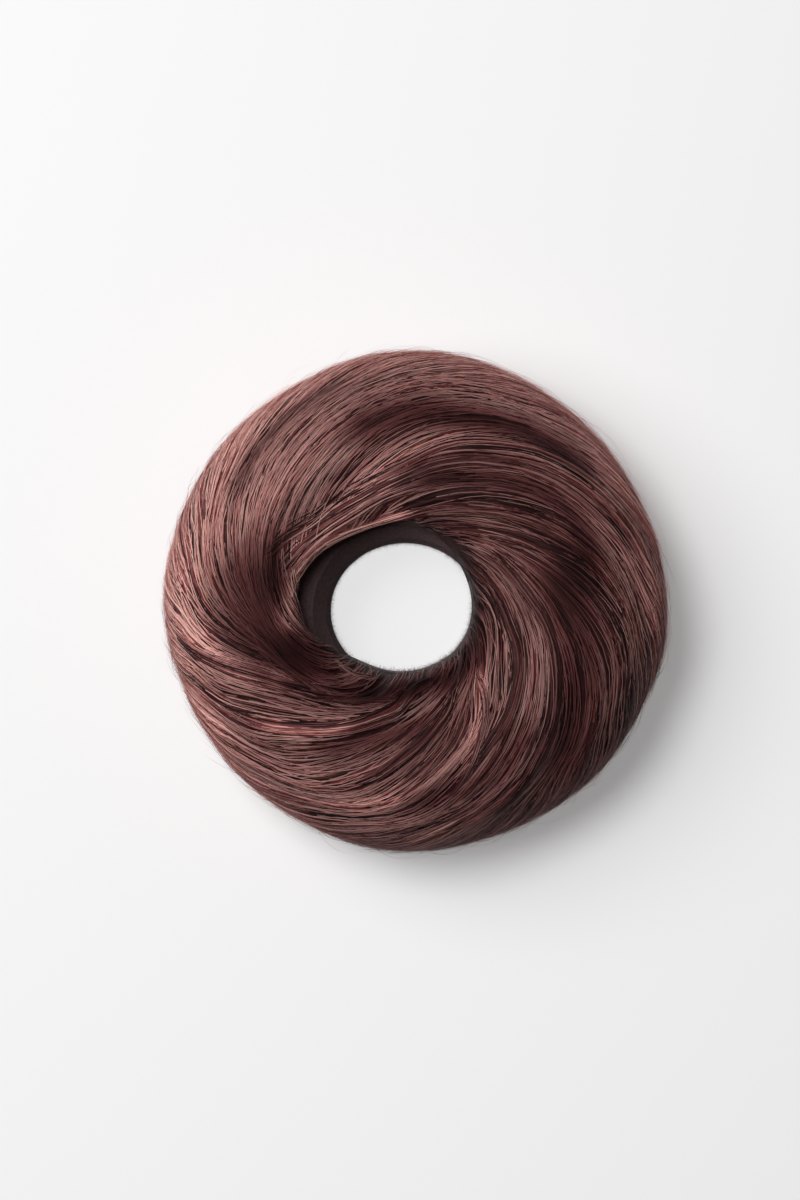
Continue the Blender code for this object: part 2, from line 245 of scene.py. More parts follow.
# Shades of the dyed hair, dark to pale, then the redder and browner strands: place in the range, sRGB colour
HAIR_SHADES = (
    (0.00, "#2f2021"),
    (0.20, "#462d2e"),
    (0.40, "#734949"),
    (0.58, "#a96361"),
    (0.70, "#dc8e89"),
    (0.80, "#fdc6bb"),
    (0.84, "#80383d"),
    (0.92, "#a34b4d"),
    (1.00, "#93603f"),
)
PALEST = 0.80
RED_FROM = 0.84
RED_PART = 0.08

# Painted light and shade: how light a strand is painted at a place, from deep in the hair to the lit rim:
# place in the range, sRGB colour
LIGHT_RANGE = ((0.0, "#454a50"), (0.6, "#9e9c9e"), (1.0, "#ffffff"))
EVEN_LIGHT = 0.56
LIGHT_GAIN = 1.4
LEAST_LIGHT = 0.02
FULL_LIGHT = 0.96
TIP_LIGHT = 0.03
# A strand is darker by this over this part of its length, from its root.
ROOT_SHADE = 0.12
ROOT_PART = 0.3
# Painted light past the full light makes a strand paler instead, a painted highlight, by no more than this.
MOST_PALER = 0.3
# Deep in the hair, as the painted light falls from the second value to the first, the tones come nearer to one
# tone, by this part of the way.
DEEP_LIGHT = (0.1, 0.6)
DEEP_TONE = 0.36
DEEP_EVENING = 0.5

# A strand is a flat strip, rolled a little to one side. Its two edges lie inside one of the steps of tone.
# Pale strands are thinner than dark ones, and the red and brown ones have one width.
STRIP_EDGES = (-1.0, 1.0)
EDGES_IN_STEP = (0.02, 0.98)
TONE_STEPS = 48
ROLL = 16.0
DARK_WIDTH = 1.15
PALE_THINNING = 0.7
RED_WIDTH = 0.7
FLOOR_CLEARANCE = 0.06 * MM

# Where a strand's width or lift is full, as parts of its length: from the first to the second
WIDTH_FULL = (0.08, 0.84)
CLUMP_FULL = (0.14, 0.84)
LOCK_FULL = (0.12, 0.86)
WINDING_FULL = (0.15, 0.85)
PAST_END = 0.02
THIN_END = 0.12
# How deep the ends dip, in mm
END_DIP = 0.9
WINDING_DIP = 0.7

# The slow drift of a strand to either side, as two waves along its length
WAVES = 1.6
WAVE_PACE = (0.4, 1.0)
SECOND_PACE = 2.1
SECOND_SIZE = 0.6
CLUMP_DRIFT = 0.12 * MM
LOCK_DRIFT = 0.10 * MM

# How strands lie across a clump or lock, in half widths, and how much a clump gathers and opens on its way
ACROSS_SPREAD = 0.5
ACROSS_MOST = 1.1
GATHERED = 0.7
OPENED = 0.5
OPENED_AT = (-0.8, 0.8)
# The spread of a clump's ends, its least run and its clearance from the lip, in degrees of turn
START_SPREAD = 5.0
END_SPREAD = 7.0
LEAST_RUN = 15.0
CLEAR_OF_LIP = 5.0
LOWEST_TURN = 312.0
LIFT_SPREAD = 0.10

# A lock's strands: how far from its two ends they start and stop, as parts of its length, how wide it is at
# its ends and how much wider in its middle, and how much they cross over. Lifts are in mm.
LOCK_START = (0, 0.3)
LOCK_STOP = (0, 0.25)
LOCK_EVEN = 0.8
LOCK_BELLY = 0.35
LOCK_CROSSING = 0.45
LOCK_LEAST_LIFT = 0.05
LOCK_LIFT_SPREAD = 0.08
LOCK_TONE_SPREAD = 0.34
LOCK_WIDTH = (0.13, 0.30)
LOCK_STEPS = 20

# Kinds of hair that are laid in clumps along the flow. In mm: a clump's half width, the height of its
# middle, how deep it lies and a strand's width. In degrees of turn: how far a strand runs, and where its
# middle may be. The tone is its mean, its spread between clumps and its spread within one.
INNER_HAIR = dict(
    clumps=120,
    each=24,
    run=(70, 120),
    half_width=(1.4, 2.6),
    height=(0.1, 0.4),
    depth=(-0.9, -0.5),
    width=(0.3, 0.6),
    tone=(0.20, 0.04, 0.08),
    steps=12,
    middles=(0, 285),
)
CROWN_HAIR = dict(
    clumps=276,
    each=25,
    run=(60, 125),
    half_width=(0.8, 2.8),
    height=(0.1, 0.4),
    depth=(-0.4, 0.0),
    width=(0.15, 0.34),
    tone=(0.36, 0.10, 0.30),
    steps=14,
    middles=(0, 200),
)
SIDE_HAIR = dict(
    clumps=170,
    each=20,
    run=(50, 95),
    half_width=(0.7, 2.2),
    height=(0.1, 0.4),
    depth=(-0.45, 0.0),
    width=(0.22, 0.46),
    tone=(0.36, 0.12, 0.20),
    steps=14,
    middles=(150, 290),
)
# Loose strands are laid one by one. Their tones are drawn afterwards.
LOOSE_HAIR = dict(
    clumps=1700,
    each=1,
    run=(70, 150),
    half_width=(0.1, 0.2),
    height=(0.1, 0.3),
    depth=(0.1, 0.4),
    width=(0.18, 0.30),
    tone=(0.0, 0.0, 0.0),
    steps=17,
    middles=(0, 215),
)
LOOSE_LEAN = 3.0
LOOSE_CURVE = 1.2
LOOSE_CURVE_MIDDLE = 0.08
LOOSE_RED_PART = 0.12
LOOSE_DARKEST = 0.72
# Painted highlight: loose strands on top are painted this much lighter.
LOOSE_PAINTED_LIGHT = 0.14

# Fuzz along the outline: its turns as mean and spread, and the reach of its tips in mm as a gamma curve's
# shape and scale
FUZZ_COUNT = 6000
FUZZ_STEPS = 8
FUZZ_TURN = (166, 11)
FUZZ_RUN = (12, 34)
FUZZ_LEAN = (0, 8)
FUZZ_RISE = 1.5
FUZZ_ROOT = 0.05
FUZZ_REACH = (2.0, 0.31)
FUZZ_LOOPS = 0.35
FUZZ_WIDTH = (0.07, 0.13)
FUZZ_RED_PART = 0.35
FUZZ_DARKEST = 0.45
# Painted highlight: the fuzz is painted this much lighter.
FUZZ_PAINTED_LIGHT = 0.1

# Hair wound round the hole's edge: clock angles, turns, lift and width in mm, and tone
WINDING_COUNT = 420
WINDING_STEPS = 16
WINDING_START = (40, 185)
WINDING_RUN = (20, 45)
WINDING_TURN = (6, 30)
WINDING_LEAN = 6
WINDING_LIFT = (-0.3, 0.05)
WINDING_WIDTH = (0.15, 0.3)
WINDING_TONE = (0.05, 0.4)

# The bed of hair is sunk by this much. It starts to sink and is all sunk at these distances from the hole's
# centre, in half widths of the hole.
BED_DEPTH = 1.1 * MM
BED_SINKS = (1.0, 1.5)
DEEP_GRAIN = MM / 0.9
DEEP_BUMP = 0.3 * MM

# The padding and its nap. The nap's heights are parts of the core's height, and its lean and bend are parts
# of a hair's length.
PADDING_GRAIN = MM / 1.4
PADDING_BUMP = 0.4 * MM
NAP_COUNT = 16000
NAP_CORNERS = 5
NAP_LENGTH = 0.8 * MM
NAP_WIDTH = 0.02 * MM
NAP_HEIGHTS = (0.3, 0.7)
NAP_LENGTHS = (0.1, 1.0)
NAP_LEAN = 0.45
NAP_BEND = 0.2
NAP_MIDDLE_WIDTH = 0.7
NAP_ROOT = 0.1 * MM

# The picture looks straight down. The frame is 160 mm wide at the height of the ring's outline.
CAMERA_HEIGHT = 1.0
FRAME_LENGTH = 240.0 * MM
CAMERA_X = -3.1 * MM
CAMERA_Y = 0.2 * MM
SENSOR = 36.0
NEAR = 0.05
FAR = 10.0

# The studio. The table glows, as on a lit product table, and most of all under the hole, which is painted
# light that makes the floor seen through the hole as bright as the open floor: the strength of the glow and
# the table's grey, made darker inside so that the lamps add less there, inside this radius and outside it.
FLOOR_HALF = 2.0
GLOW_RADIUS = 13.0 * MM
GLOW_EDGE = GLOW_RADIUS * 1.3
GLOW_INSIDE = 0.75
GLOW_OUTSIDE = 0.27
GREY_INSIDE = 0.2
GREY_OUTSIDE = 0.88
LIGHT_DISTANCE = 1.3
LIGHTS = (
    # name, clock angle, elevation, width in metres, power in watts
    ("wide_light", 295, 55, 1.1, 8.7),
    ("top_light", 308, 70, 0.5, 5.7),
)
WHITE = (1, 1, 1, 1)
ROOM_LIGHT = 0.03

# Sockets of a colour mix, which share their names with those of its other kinds
MIX_FACTOR = 0
MIX_A = 6
MIX_B = 7
MIX_COLOUR = 2

rng = np.random.default_rng(SEED)


def heading(clock):
    """The direction of a clock angle, seen from above."""
    angle = np.radians(clock)
    return np.stack([np.sin(angle), np.cos(angle)], axis=-1)


def full_power(value):
    """A sine or cosine, changed for the tube's section, which is a little fuller than a circle."""
    return np.sign(value) * np.abs(value) ** TUBE_FULLNESS


def share_at_turn(turn):
    return (1 - full_power(np.cos(np.radians(turn)))) / 2


def turn_at_share(share):
    """The turn on the upper side at a share. Shares over 1 go on down the outside."""
    cosine = 1 - 2 * np.clip(share, 0.0, 1.0)
    turn = np.degrees(np.arccos(np.sign(cosine) * np.abs(cosine) ** (1 / TUBE_FULLNESS)))
    return turn + np.maximum(share - 1.0, 0.0) * OUTLINE_TURN


def soft_step(value, start, end):
    t = np.clip((value - start) / (end - start), 0.0, 1.0)
    return t * t * (3 - 2 * t)


def between_ends(along, full, past=0.0):
    """0 at both ends of a strand and 1 where full says, or a little more than 0 where the step starts past
    the ends."""
    return np.minimum(soft_step(along, -past, full[0]), 1 - soft_step(along, full[1], 1 + past))


def smooth_through(at, places, values):
    """A smooth curve through values at places, read at at, with its slopes taken from the neighbours."""
    places, values = np.asarray(places, float), np.asarray(values, float)
    slopes = np.gradient(values, places)
    low = np.clip(np.searchsorted(places, at, side="right") - 1, 0, len(places) - 2)
    width = places[low + 1] - places[low]
    t = (at - places[low]) / width
    start = values[low] * (2 * t**3 - 3 * t**2 + 1) + slopes[low] * width * (t**3 - 2 * t**2 + t)
    return start + values[low + 1] * (3 * t**2 - 2 * t**3) + slopes[low + 1] * width * (t**3 - t**2)


def unit(vectors):
    return vectors / np.maximum(np.linalg.norm(vectors, axis=-1, keepdims=True), TINY)


def blurred(values):
    """A grid of values made smooth, all the way round the clock and along the turns."""
    for _ in range(SMOOTHINGS):
        values = (np.roll(values, 1, 0) + 2 * values + np.roll(values, -1, 0)) / 4
        padded = np.concatenate([values[:, :1], values, values[:, -1:]], axis=1)
        values = (padded[:, :-2] + 2 * padded[:, 1:-1] + padded[:, 2:]) / 4
    return values


def faces_of(node):
    """A node's mesh, ready for rays."""
    mesh = node.data
    return BVHTree.FromPolygons([v.co for v in mesh.vertices], [p.vertices for p in mesh.polygons])


def read_skin():
    """The hair's outer surface as points and outward directions on a grid of clock angles and turns, and the
    turn of its edge in the hole at each clock angle. Rays towards the middle of the tube find it."""
    tree = faces_of(HAIR)
    middle_z = Vector((0, 0, TUBE_MIDDLE_Z))
    points = np.zeros((len(CLOCKS), len(TURNS), 3))
    outward = np.zeros_like(points)
    lips = np.zeros(len(CLOCKS))
    for i, clock in enumerate(CLOCKS):
        x, y = heading(clock)
        far = Vector((x, y, 0)) * (RING_HIGH.x * PAST_RING) + middle_z
        hit = tree.ray_cast(far, Vector((-x, -y, 0)))[0]
        outline = math.hypot(hit.x, hit.y)
        hole = 1 / math.hypot(x / HOLE_HALF_WIDTH, y / HOLE_HALF_DEPTH)

        def full_form(turn, proud):
            """A place that is proud of the tube's plain form."""
            share = float(share_at_turn(turn))
            out = hole + (outline - hole) * share - math.cos(math.radians(turn)) * proud
            plan = HOLE_CENTRE * (1 - share)
            rise = float(full_power(math.sin(math.radians(turn)))) * (TUBE_HALF_HEIGHT + proud)
            return Vector((plan[0] + x * out, plan[1] + y * out, TUBE_MIDDLE_Z + rise))

        plan = HOLE_CENTRE / 2
        half_way = (hole + outline) / 2
        middle = Vector((plan[0] + x * half_way, plan[1] + y * half_way, TUBE_MIDDLE_Z))
        lips[i] = FIRST_TURN
        for j, turn in enumerate(TURNS):
            origin = full_form(turn, CLEAR_OF_HAIR)
            towards = middle - origin
            place, normal, _, _ = tree.ray_cast(origin, towards.normalized(), CLEAR_OF_HAIR * 2)
            if place is None:
                place, normal, _, _ = tree.find_nearest(origin)
                if turn < CROWN_TURN:
                    lips[i] = turn + TURN_STEP
            points[i, j] = place
            outward[i, j] = normal if normal.dot(towards) < 0 else -normal
    points, outward = blurred(points), blurred(outward)
    outward /= np.linalg.norm(outward, axis=-1, keepdims=True)
    lips = blurred(lips[:, None])[:, 0]
    return points, outward, lips


def read_grid(grid, clock, turn):
    """Values of a grid between its steps."""
    across = np.mod(clock, ROUND) / CLOCK_STEP
    along = np.clip((turn - FIRST_TURN) / TURN_STEP, 0.0, INSIDE_LAST_STEP)
    i, j = np.floor(across).astype(int), np.floor(along).astype(int)
    s, t = (across - i)[..., None], (along - j)[..., None]
    i, after = i % len(CLOCKS), (i + 1) % len(CLOCKS)
    low = grid[i, j] * (1 - s) + grid[after, j] * s
    high = grid[i, j + 1] * (1 - s) + grid[after, j + 1] * s
    return low * (1 - t) + high * t


def on_skin(clock, turn, lift):
    """Points that lie lift above the hair's surface, and the outward directions there."""
    outward = read_grid(OUTWARD, clock, turn)
    outward /= np.linalg.norm(outward, axis=-1, keepdims=True)
    points = read_grid(SKIN, clock, turn) + outward * lift[..., None]
    points[..., 2] = np.maximum(points[..., 2], FLOOR_CLEARANCE)
    return points, outward


def moved_sideways(clock, turn, across):
    """Places moved sideways along the surface by across metres, square to the way that each strand runs."""
    points, outward = on_skin(clock, turn, np.zeros_like(clock))
    side = np.cross(unit(np.gradient(points, axis=-2)), outward) * across[..., None]
    round_ring = read_grid(SKIN, clock + DEGREE, turn) - points
    round_tube = read_grid(SKIN, clock, turn + DEGREE) - points
    least = LEAST_STEP**2
    clock = clock + (side * round_ring).sum(-1) / np.maximum((round_ring**2).sum(-1), least)
    turn = turn + (side * round_tube).sum(-1) / np.maximum((round_tube**2).sum(-1), least)
    return clock, turn


def lip_turn(clock):
    """The turn of the hair's edge in the hole."""
    return np.interp(np.mod(clock, ROUND), np.append(CLOCKS, ROUND), np.append(LIPS, LIPS[0]))


def flow_lines():
    """The clock angle on each line of the flow at fine shares, with the first line again one round later."""
    lines = np.array([smooth_through(FINE_SHARES, LINE_SHARES, row) for row in LOCK_LINES])
    return np.vstack([lines, lines[:1] + ROUND])


def flow_share(turn):
    """The share that the flow's lines are read at. Near the outline it grows evenly with the turn, so that
    the hair runs on over the outline without a bend."""
    turn = np.clip(turn, 0.0, OUTLINE_TURN)
    last = share_at_turn(EVEN_FROM_TURN)
    evenly = last + (1 - last) * (turn - EVEN_FROM_TURN) / (OUTLINE_TURN - EVEN_FROM_TURN)
    return np.where(turn < EVEN_FROM_TURN, share_at_turn(turn), evenly)


def clock_on_line(line, turn):
    """The clock angle where a line of the flow, which may lie between two rows, comes to a turn."""
    place = np.mod(line, len(LOCK_LINES))
    rounds = np.floor(line / len(LOCK_LINES)) * ROUND
    low = np.minimum(np.floor(place).astype(int), len(LOCK_LINES) - 1)
    at = flow_share(turn) * (len(FINE_SHARES) - 1)
    column = np.minimum(np.floor(at).astype(int), len(FINE_SHARES) - 2)
    s, t = place - low, at - column
    near = FLOW[low, column] * (1 - s) + FLOW[low + 1, column] * s
    far = FLOW[low, column + 1] * (1 - s) + FLOW[low + 1, column + 1] * s
    return near * (1 - t) + far * t + rounds + EDGE_RUN * np.maximum(turn - OUTLINE_TURN, 0.0)


def line_through(clock, turn):
    """The line of the flow that passes through a place."""
    column = int(round(float(flow_share(turn)) * (len(FINE_SHARES) - 1)))
    clocks = FLOW[:, column]
    clock = clock - EDGE_RUN * max(turn - OUTLINE_TURN, 0.0)
    return np.interp((clock - clocks[0]) % ROUND + clocks[0], clocks, np.arange(len(clocks)))


def along_places(places, at):
    """The clock angles at parts of the way along listed points."""
    clocks = np.degrees(np.unwrap(np.radians([clock for clock, _ in places])))
    return smooth_through(at, np.linspace(0.0, 1.0, len(places)), clocks)


def light_over_hair():
    """The painted light and shade all over the hair, from the dark and light lines and along the outline."""
    along_rim = soft_step(TURNS, *RIM_TURNS) * (1 - soft_step(TURNS, *BELOW_RIM_TURNS))
    change = along_rim[None, :] * np.interp(CLOCKS, *np.transpose(RIM_LIGHT))[:, None]
    along = np.linspace(0.0, 1.0, POINTS_ON_LINE)
    for _, places, reach, amount in DARK_AND_LIGHT:
        marks = np.linspace(0.0, 1.0, len(places))
        turns = turn_at_share(smooth_through(along, marks, [share for _, share in places]))
        path, _ = on_skin(along_places(places, along), turns, np.zeros(len(along)))
        distance = np.min([np.linalg.norm(SKIN - point, axis=-1) for point in path], axis=0)
        change += amount * np.exp(-((distance / (reach * MM)) ** 2))
    return change[..., None]


def strand_tones(clumps, each, mean, between, within):
    """Tones of single hairs. Most are near their clump's own, and some are much darker or paler, as real hairs
    are; the palest partly stand for painted glints of light. A few are red or brown."""
    count = clumps * each
    tones = np.repeat(rng.normal(mean, between, clumps), each) + rng.laplace(0, within, count)
    red = rng.uniform(size=count) < RED_PART
    return np.where(red, rng.uniform(RED_FROM, 1.0, count), np.clip(tones, 0.0, PALEST))


def pale_tones(count, red_part, darkest):
    """Tones of pale hairs, whose paleness is partly their own and partly painted glints of light, and of the
    red or brown ones among them.
    """
    red = rng.uniform(size=count) < red_part
    return np.where(red, rng.uniform(RED_FROM, 1.0, count), rng.uniform(darkest, PALEST, count))


def strip_map(clock, turn, tone, proud):
    """What each place of each strand shows: the painted light and shade there, and the strand's tone."""
    along = np.linspace(0.0, 1.0, clock.shape[1])[None, :]
    # The painted light at each place. proud is painted light added to strands that lie on top.
    light = EVEN_LIGHT + proud + LIGHT_GAIN * read_grid(LIGHT, clock, turn)[..., 0]
    light = light - ROOT_SHADE * (1 - soft_step(along, 0.0, ROOT_PART))
    paler = np.clip(light - FULL_LIGHT, 0.0, MOST_PALER)
    light = np.clip(light, LEAST_LIGHT, FULL_LIGHT) + TIP_LIGHT * along
    tone = tone[:, None]
    evened = np.where(tone > PALEST, 0.0, DEEP_EVENING) * (1 - soft_step(light, *DEEP_LIGHT))
    shown = tone + (DEEP_TONE - tone) * evened
    shown = np.where(tone > PALEST, shown, np.minimum(shown + paler, PALEST))
    light = np.repeat(light[..., None], len(STRIP_EDGES), axis=-1)
    return np.stack([light, (shown[..., None] * (TONE_STEPS - 1) + EDGES_IN_STEP) / TONE_STEPS], axis=-1)


def new_object(name, data):
    thing = bpy.data.objects.new(name, data)
    bpy.context.scene.collection.objects.link(thing)
    return thing


def strand_piece(name, strands, finish, proud=0.0):
    """One mesh of strands, each a narrow strip that is thinner towards its two ends. Its map is the painted
    light and shade at each place one way, and the strand's own tone the other way."""
    clock, turn, lift, width, tone = (np.concatenate([s[i] for s in strands]) for i in range(5))
    count, steps = clock.shape
    wide = len(STRIP_EDGES)
    points, outward = on_skin(clock, turn, lift)
    side = unit(np.cross(unit(np.gradient(points, axis=1)), outward))
    roll = np.radians(rng.normal(0, ROLL, count))[:, None, None]
    side = side * np.cos(roll) + outward * np.sin(roll)
    widening = np.where(tone > PALEST, RED_WIDTH, DARK_WIDTH - PALE_THINNING * tone)
    half = width[..., None] * widening[:, None, None] / 2
    corners = np.stack([points + side * edge * half for edge in STRIP_EDGES], axis=2)
    corners[..., 2] = np.maximum(corners[..., 2], FLOOR_CLEARANCE / 2)

    first = (np.arange(count)[:, None] * steps + np.arange(steps - 1)) * wide
    quads = np.stack([first, first + 1, first + wide + 1, first + wide], axis=-1).reshape(-1, 4)
    mesh = bpy.data.meshes.new(name)
    mesh.vertices.add(count * steps * wide)
    mesh.vertices.foreach_set("co", corners.astype(np.float32).ravel())
    mesh.loops.add(quads.size)
    mesh.loops.foreach_set("vertex_index", quads.astype(np.int32).ravel())
    mesh.polygons.add(len(quads))
    mesh.polygons.foreach_set("loop_start", np.arange(0, quads.size, 4, dtype=np.int32))
    mesh.update(calc_edges=True)
    mesh.shade_smooth()
    places = strip_map(clock, turn, tone, proud).reshape(-1, 2)[quads.ravel()]
    mesh.uv_layers.new(name="OFBake").data.foreach_set("uv", places.astype(np.float32).ravel())

    piece = new_object(name, mesh)
    mesh.materials.append(finish)
    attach(piece, "root")


def tapered(width, steps):
    """The width of each strand along its length, with thin ends."""
    ends = between_ends(np.linspace(0.0, 1.0, steps), WIDTH_FULL, PAST_END)
    return width[:, None] * (THIN_END + (1 - THIN_END) * ends[None, :])


def drifting(count, steps, amount):
    """A slow drift to either side along each strand."""
    along = np.linspace(0.0, 1.0, steps)[None, :]
    phase = rng.uniform(0, 2 * np.pi, (count, 2, 1))
    pace = rng.uniform(*WAVE_PACE, (count, 2, 1)) * WAVES * 2 * np.pi
    second = SECOND_SIZE * np.sin(SECOND_PACE * pace[:, 1] * along + phase[:, 1])
    return (np.sin(pace[:, 0] * along + phase[:, 0]) + second) * amount


def spread_across(count):
    return np.clip(rng.normal(0, ACROSS_SPREAD, count), -ACROSS_MOST, ACROSS_MOST)


def middles_on_ring(clumps, middles):
    """Places spread evenly over the ring, as lines of the flow and turns."""
    places = []
    while len(places) < clumps:
        clock, turn = rng.uniform(0, ROUND), rng.uniform(*middles)
        wide = np.linalg.norm(read_grid(SKIN, np.array(clock), np.array(turn))[:2]) / RING_HIGH.x
        if rng.uniform() < wide and turn > lip_turn(clock):
            places.append((clock, turn))
    lines = np.array([line_through(clock, turn) for clock, turn in places])
    return lines, np.array([turn for _, turn in places])


def clumps_on_flow(clumps, each, run, half_width, height, depth, width, tone, steps, middles):
    """Clumps of strands that follow the flow of the locks. A clump is half_width to either side, and stands
    height above depth in its middle. Its ends dip under the hair around it."""
    line, middle = middles_on_ring(clumps, middles)
    size = rng.uniform(*run, clumps)
    line, middle, size = (np.repeat(values, each) for values in (line, middle, size))
    count = clumps * each

    start = middle - size / 2 + rng.normal(0, START_SPREAD, count)
    end = middle + size / 2 + rng.normal(0, END_SPREAD, count)
    at_lip = np.maximum(lip_turn(clock_on_line(line, start)), 0.0) + CLEAR_OF_LIP
    start = np.minimum(np.maximum(start, at_lip), middle)
    end = np.clip(end, start + LEAST_RUN, LOWEST_TURN)
    along = np.linspace(0.0, 1.0, steps)[None, :]
    turn = start[:, None] + (end - start)[:, None] * along
    clock = clock_on_line(line[:, None] + np.zeros_like(turn), turn)

    clump_width = np.repeat(rng.uniform(*half_width, clumps), each) * MM
    across = spread_across(count)
    opened_at = np.repeat(rng.uniform(*OPENED_AT, clumps), each)[:, None]
    gathering = GATHERED + OPENED * np.sin(np.pi * along + opened_at)
    sideways = (across * clump_width)[:, None] * gathering + drifting(count, steps, CLUMP_DRIFT)
    clock, turn = moved_sideways(clock, turn, sideways)

    ends = between_ends(along, CLUMP_FULL)
    base = np.repeat(rng.uniform(*depth, clumps), each) + rng.normal(0, LIFT_SPREAD, count)
    crest = np.repeat(rng.uniform(*height, clumps), each) * (1 - across**2)
    lift = ((base + crest)[:, None] - END_DIP * (1 - ends)) * MM
    widths = tapered(rng.uniform(*width, count) * MM, steps)
    return clock, turn, lift, widths, strand_tones(clumps, each, *tone)


def lock_on_top(places, half_width, strands, height, tone):
    """A lock along listed points. It is widest in its middle, and its strands cross over a little."""
    turns = turn_at_share(np.array([share for _, share in places]))
    begin = rng.uniform(*LOCK_START, strands)
    finish = 1 - rng.uniform(*LOCK_STOP, strands)
    along = np.linspace(0.0, 1.0, LOCK_STEPS)[None, :]
    at = begin[:, None] + (finish - begin)[:, None] * along
    clock = along_places(places, at)
    turn = smooth_through(at, np.linspace(0.0, 1.0, len(places)), turns)
    across = spread_across(strands)
    belly = LOCK_EVEN + LOCK_BELLY * np.sin(np.pi * at)
    crossing = rng.normal(0, LOCK_CROSSING, strands)[:, None] * (at - 0.5)
    sideways = (across[:, None] * belly + crossing) * half_width * MM
    clock, turn = moved_sideways(clock, turn, sideways + drifting(strands, LOCK_STEPS, LOCK_DRIFT))
    ends = between_ends(along, LOCK_FULL)
    crest = np.maximum(height * (1 - across**2), LOCK_LEAST_LIFT) + rng.normal(0, LOCK_LIFT_SPREAD, strands)
    lift = (crest[:, None] * ends - END_DIP * (1 - ends)) * MM
    tones = strand_tones(1, strands, tone, 0.0, LOCK_TONE_SPREAD)
    return clock, turn, lift, tapered(rng.uniform(*LOCK_WIDTH, strands) * MM, LOCK_STEPS), tones


def loose_strands():
    """Thin pale hairs on top that stray a little from the flow, painted lighter than the hair below them as a
    painted highlight.
    """
    clock, turn, lift, width, _ = clumps_on_flow(**LOOSE_HAIR)
    count, steps = clock.shape
    along = np.linspace(-0.5, 0.5, steps)[None, :]
    lean = rng.normal(0, LOOSE_LEAN, count)[:, None] * along
    curve = rng.normal(0, LOOSE_CURVE, count)[:, None] * (along**2 - LOOSE_CURVE_MIDDLE)
    clock, turn = moved_sideways(clock, turn, (lean + curve) * MM)
    return clock, turn, lift, width, pale_tones(count, LOOSE_RED_PART, LOOSE_DARKEST)


def flyaways(count, steps):
    """Fuzz: very thin hairs whose tips, or whose loops, stand off the outline."""
    turn_middle = rng.normal(*FUZZ_TURN, count)
    clock_middle = rng.uniform(0, ROUND, count)
    line = np.array([line_through(clock, turn) for clock, turn in zip(clock_middle, turn_middle)])
    along = np.linspace(-0.5, 0.5, steps)[None, :]
    turn = turn_middle[:, None] + rng.uniform(*FUZZ_RUN, count)[:, None] * along
    clock = clock_on_line(line[:, None] + np.zeros_like(turn), turn)
    clock = clock + rng.uniform(*FUZZ_LEAN, count)[:, None] * along
    rising = (along + 0.5) ** FUZZ_RISE
    arch = 1 - (2 * along) ** 2
    loop = rng.uniform(size=count) < FUZZ_LOOPS
    reach = rng.gamma(*FUZZ_REACH, count)[:, None]
    lift = (FUZZ_ROOT + reach * np.where(loop[:, None], arch, rising)) * MM
    width = tapered(rng.uniform(*FUZZ_WIDTH, count) * MM, steps)
    return clock, turn, lift, width, pale_tones(count, FUZZ_RED_PART, FUZZ_DARKEST)


def hole_winding(count, steps):
    """Hair wound round the hole's edge, where the strands come up out of it."""
    start = rng.uniform(*WINDING_START, count)
    run = rng.uniform(*WINDING_RUN, count)
    along = np.linspace(0.0, 1.0, steps)[None, :]
    clock = start[:, None] + run[:, None] * along
    turn = rng.uniform(*WINDING_TURN, count)[:, None]
    turn = turn + rng.normal(0, WINDING_LEAN, count)[:, None] * (along - 0.5)
    ends = between_ends(along, WINDING_FULL)
    lift = (rng.uniform(*WINDING_LIFT, count)[:, None] - WINDING_DIP * (1 - ends)) * MM
    width = tapered(rng.uniform(*WINDING_WIDTH, count) * MM, steps)
    return clock, turn, lift, width, rng.uniform(*WINDING_TONE, count)


def to_linear(colour):
    """A sRGB hex colour as linear red, green, blue and 1."""
    parts = [int(colour[i : i + 2], 16) / 255 for i in (1, 3, 5)]
    return [p / 12.92 if p <= 0.04045 else ((p + 0.055) / 1.055) ** 2.4 for p in parts] + [1.0]


def new_material(name):
    material = bpy.data.materials.new(name)
    material.use_nodes = True
    material.node_tree.nodes.clear()
    return material, material.node_tree


def add(tree, kind, links=None, values=None, **settings):
    """Adds a node with its settings, its sockets' values, and links from other nodes' outputs."""
    node = tree.nodes.new(kind)
    for key, value in settings.items():
        setattr(node, key, value)
    for key, value in (values or {}).items():
        node.inputs[key].default_value = value
    for key, output in (links or {}).items():
        tree.links.new(output, node.inputs[key])
    return node


def fill_ramp(ramp, stops):
    """Sets the stops of a colour ramp: place, sRGB colour."""
    while len(ramp.elements) < len(stops):
        ramp.elements.new(1.0)
    for element, (place, colour) in zip(ramp.elements, stops):
        element.position = place
        element.color = to_linear(colour)


def dyed_hair_painted_light():
    """Human hair, dyed dark red-brown and combed: each hair of its own shade, darker at its root. Its map
    carries painted light and shade: painted shade deep between the locks and painted light along the lit rim.
    The gloss is satin and faint, because so many thin hairs scatter the light."""
    material, tree = new_material("dyed_hair_painted_light")
    place = add(tree, "ShaderNodeUVMap", uv_map="OFBake")
    parts = add(tree, "ShaderNodeSeparateXYZ", {0: place.outputs[0]})
    shade = add(tree, "ShaderNodeValToRGB", {0: parts.outputs["Y"]})
    fill_ramp(shade.color_ramp, HAIR_SHADES)
    light = add(tree, "ShaderNodeValToRGB", {0: parts.outputs["X"]})
    fill_ramp(light.color_ramp, LIGHT_RANGE)
    colour = add(
        tree,
        "ShaderNodeMix",
        {MIX_A: shade.outputs[0], MIX_B: light.outputs[0]},
        {MIX_FACTOR: 1.0},
        data_type="RGBA",
        blend_type="MULTIPLY",
    )
    surface = add(
        tree,
        "ShaderNodeBsdfPrincipled",
        {"Base Color": colour.outputs[MIX_COLOUR]},
        {"Roughness": 0.5, "IOR": 1.55, "Specular IOR Level": 0.12, "Specular Tint": to_linear("#e8b8ac")},
    )
    add(tree, "ShaderNodeOutputMaterial", {"Surface": surface.outputs[0]})
    return material


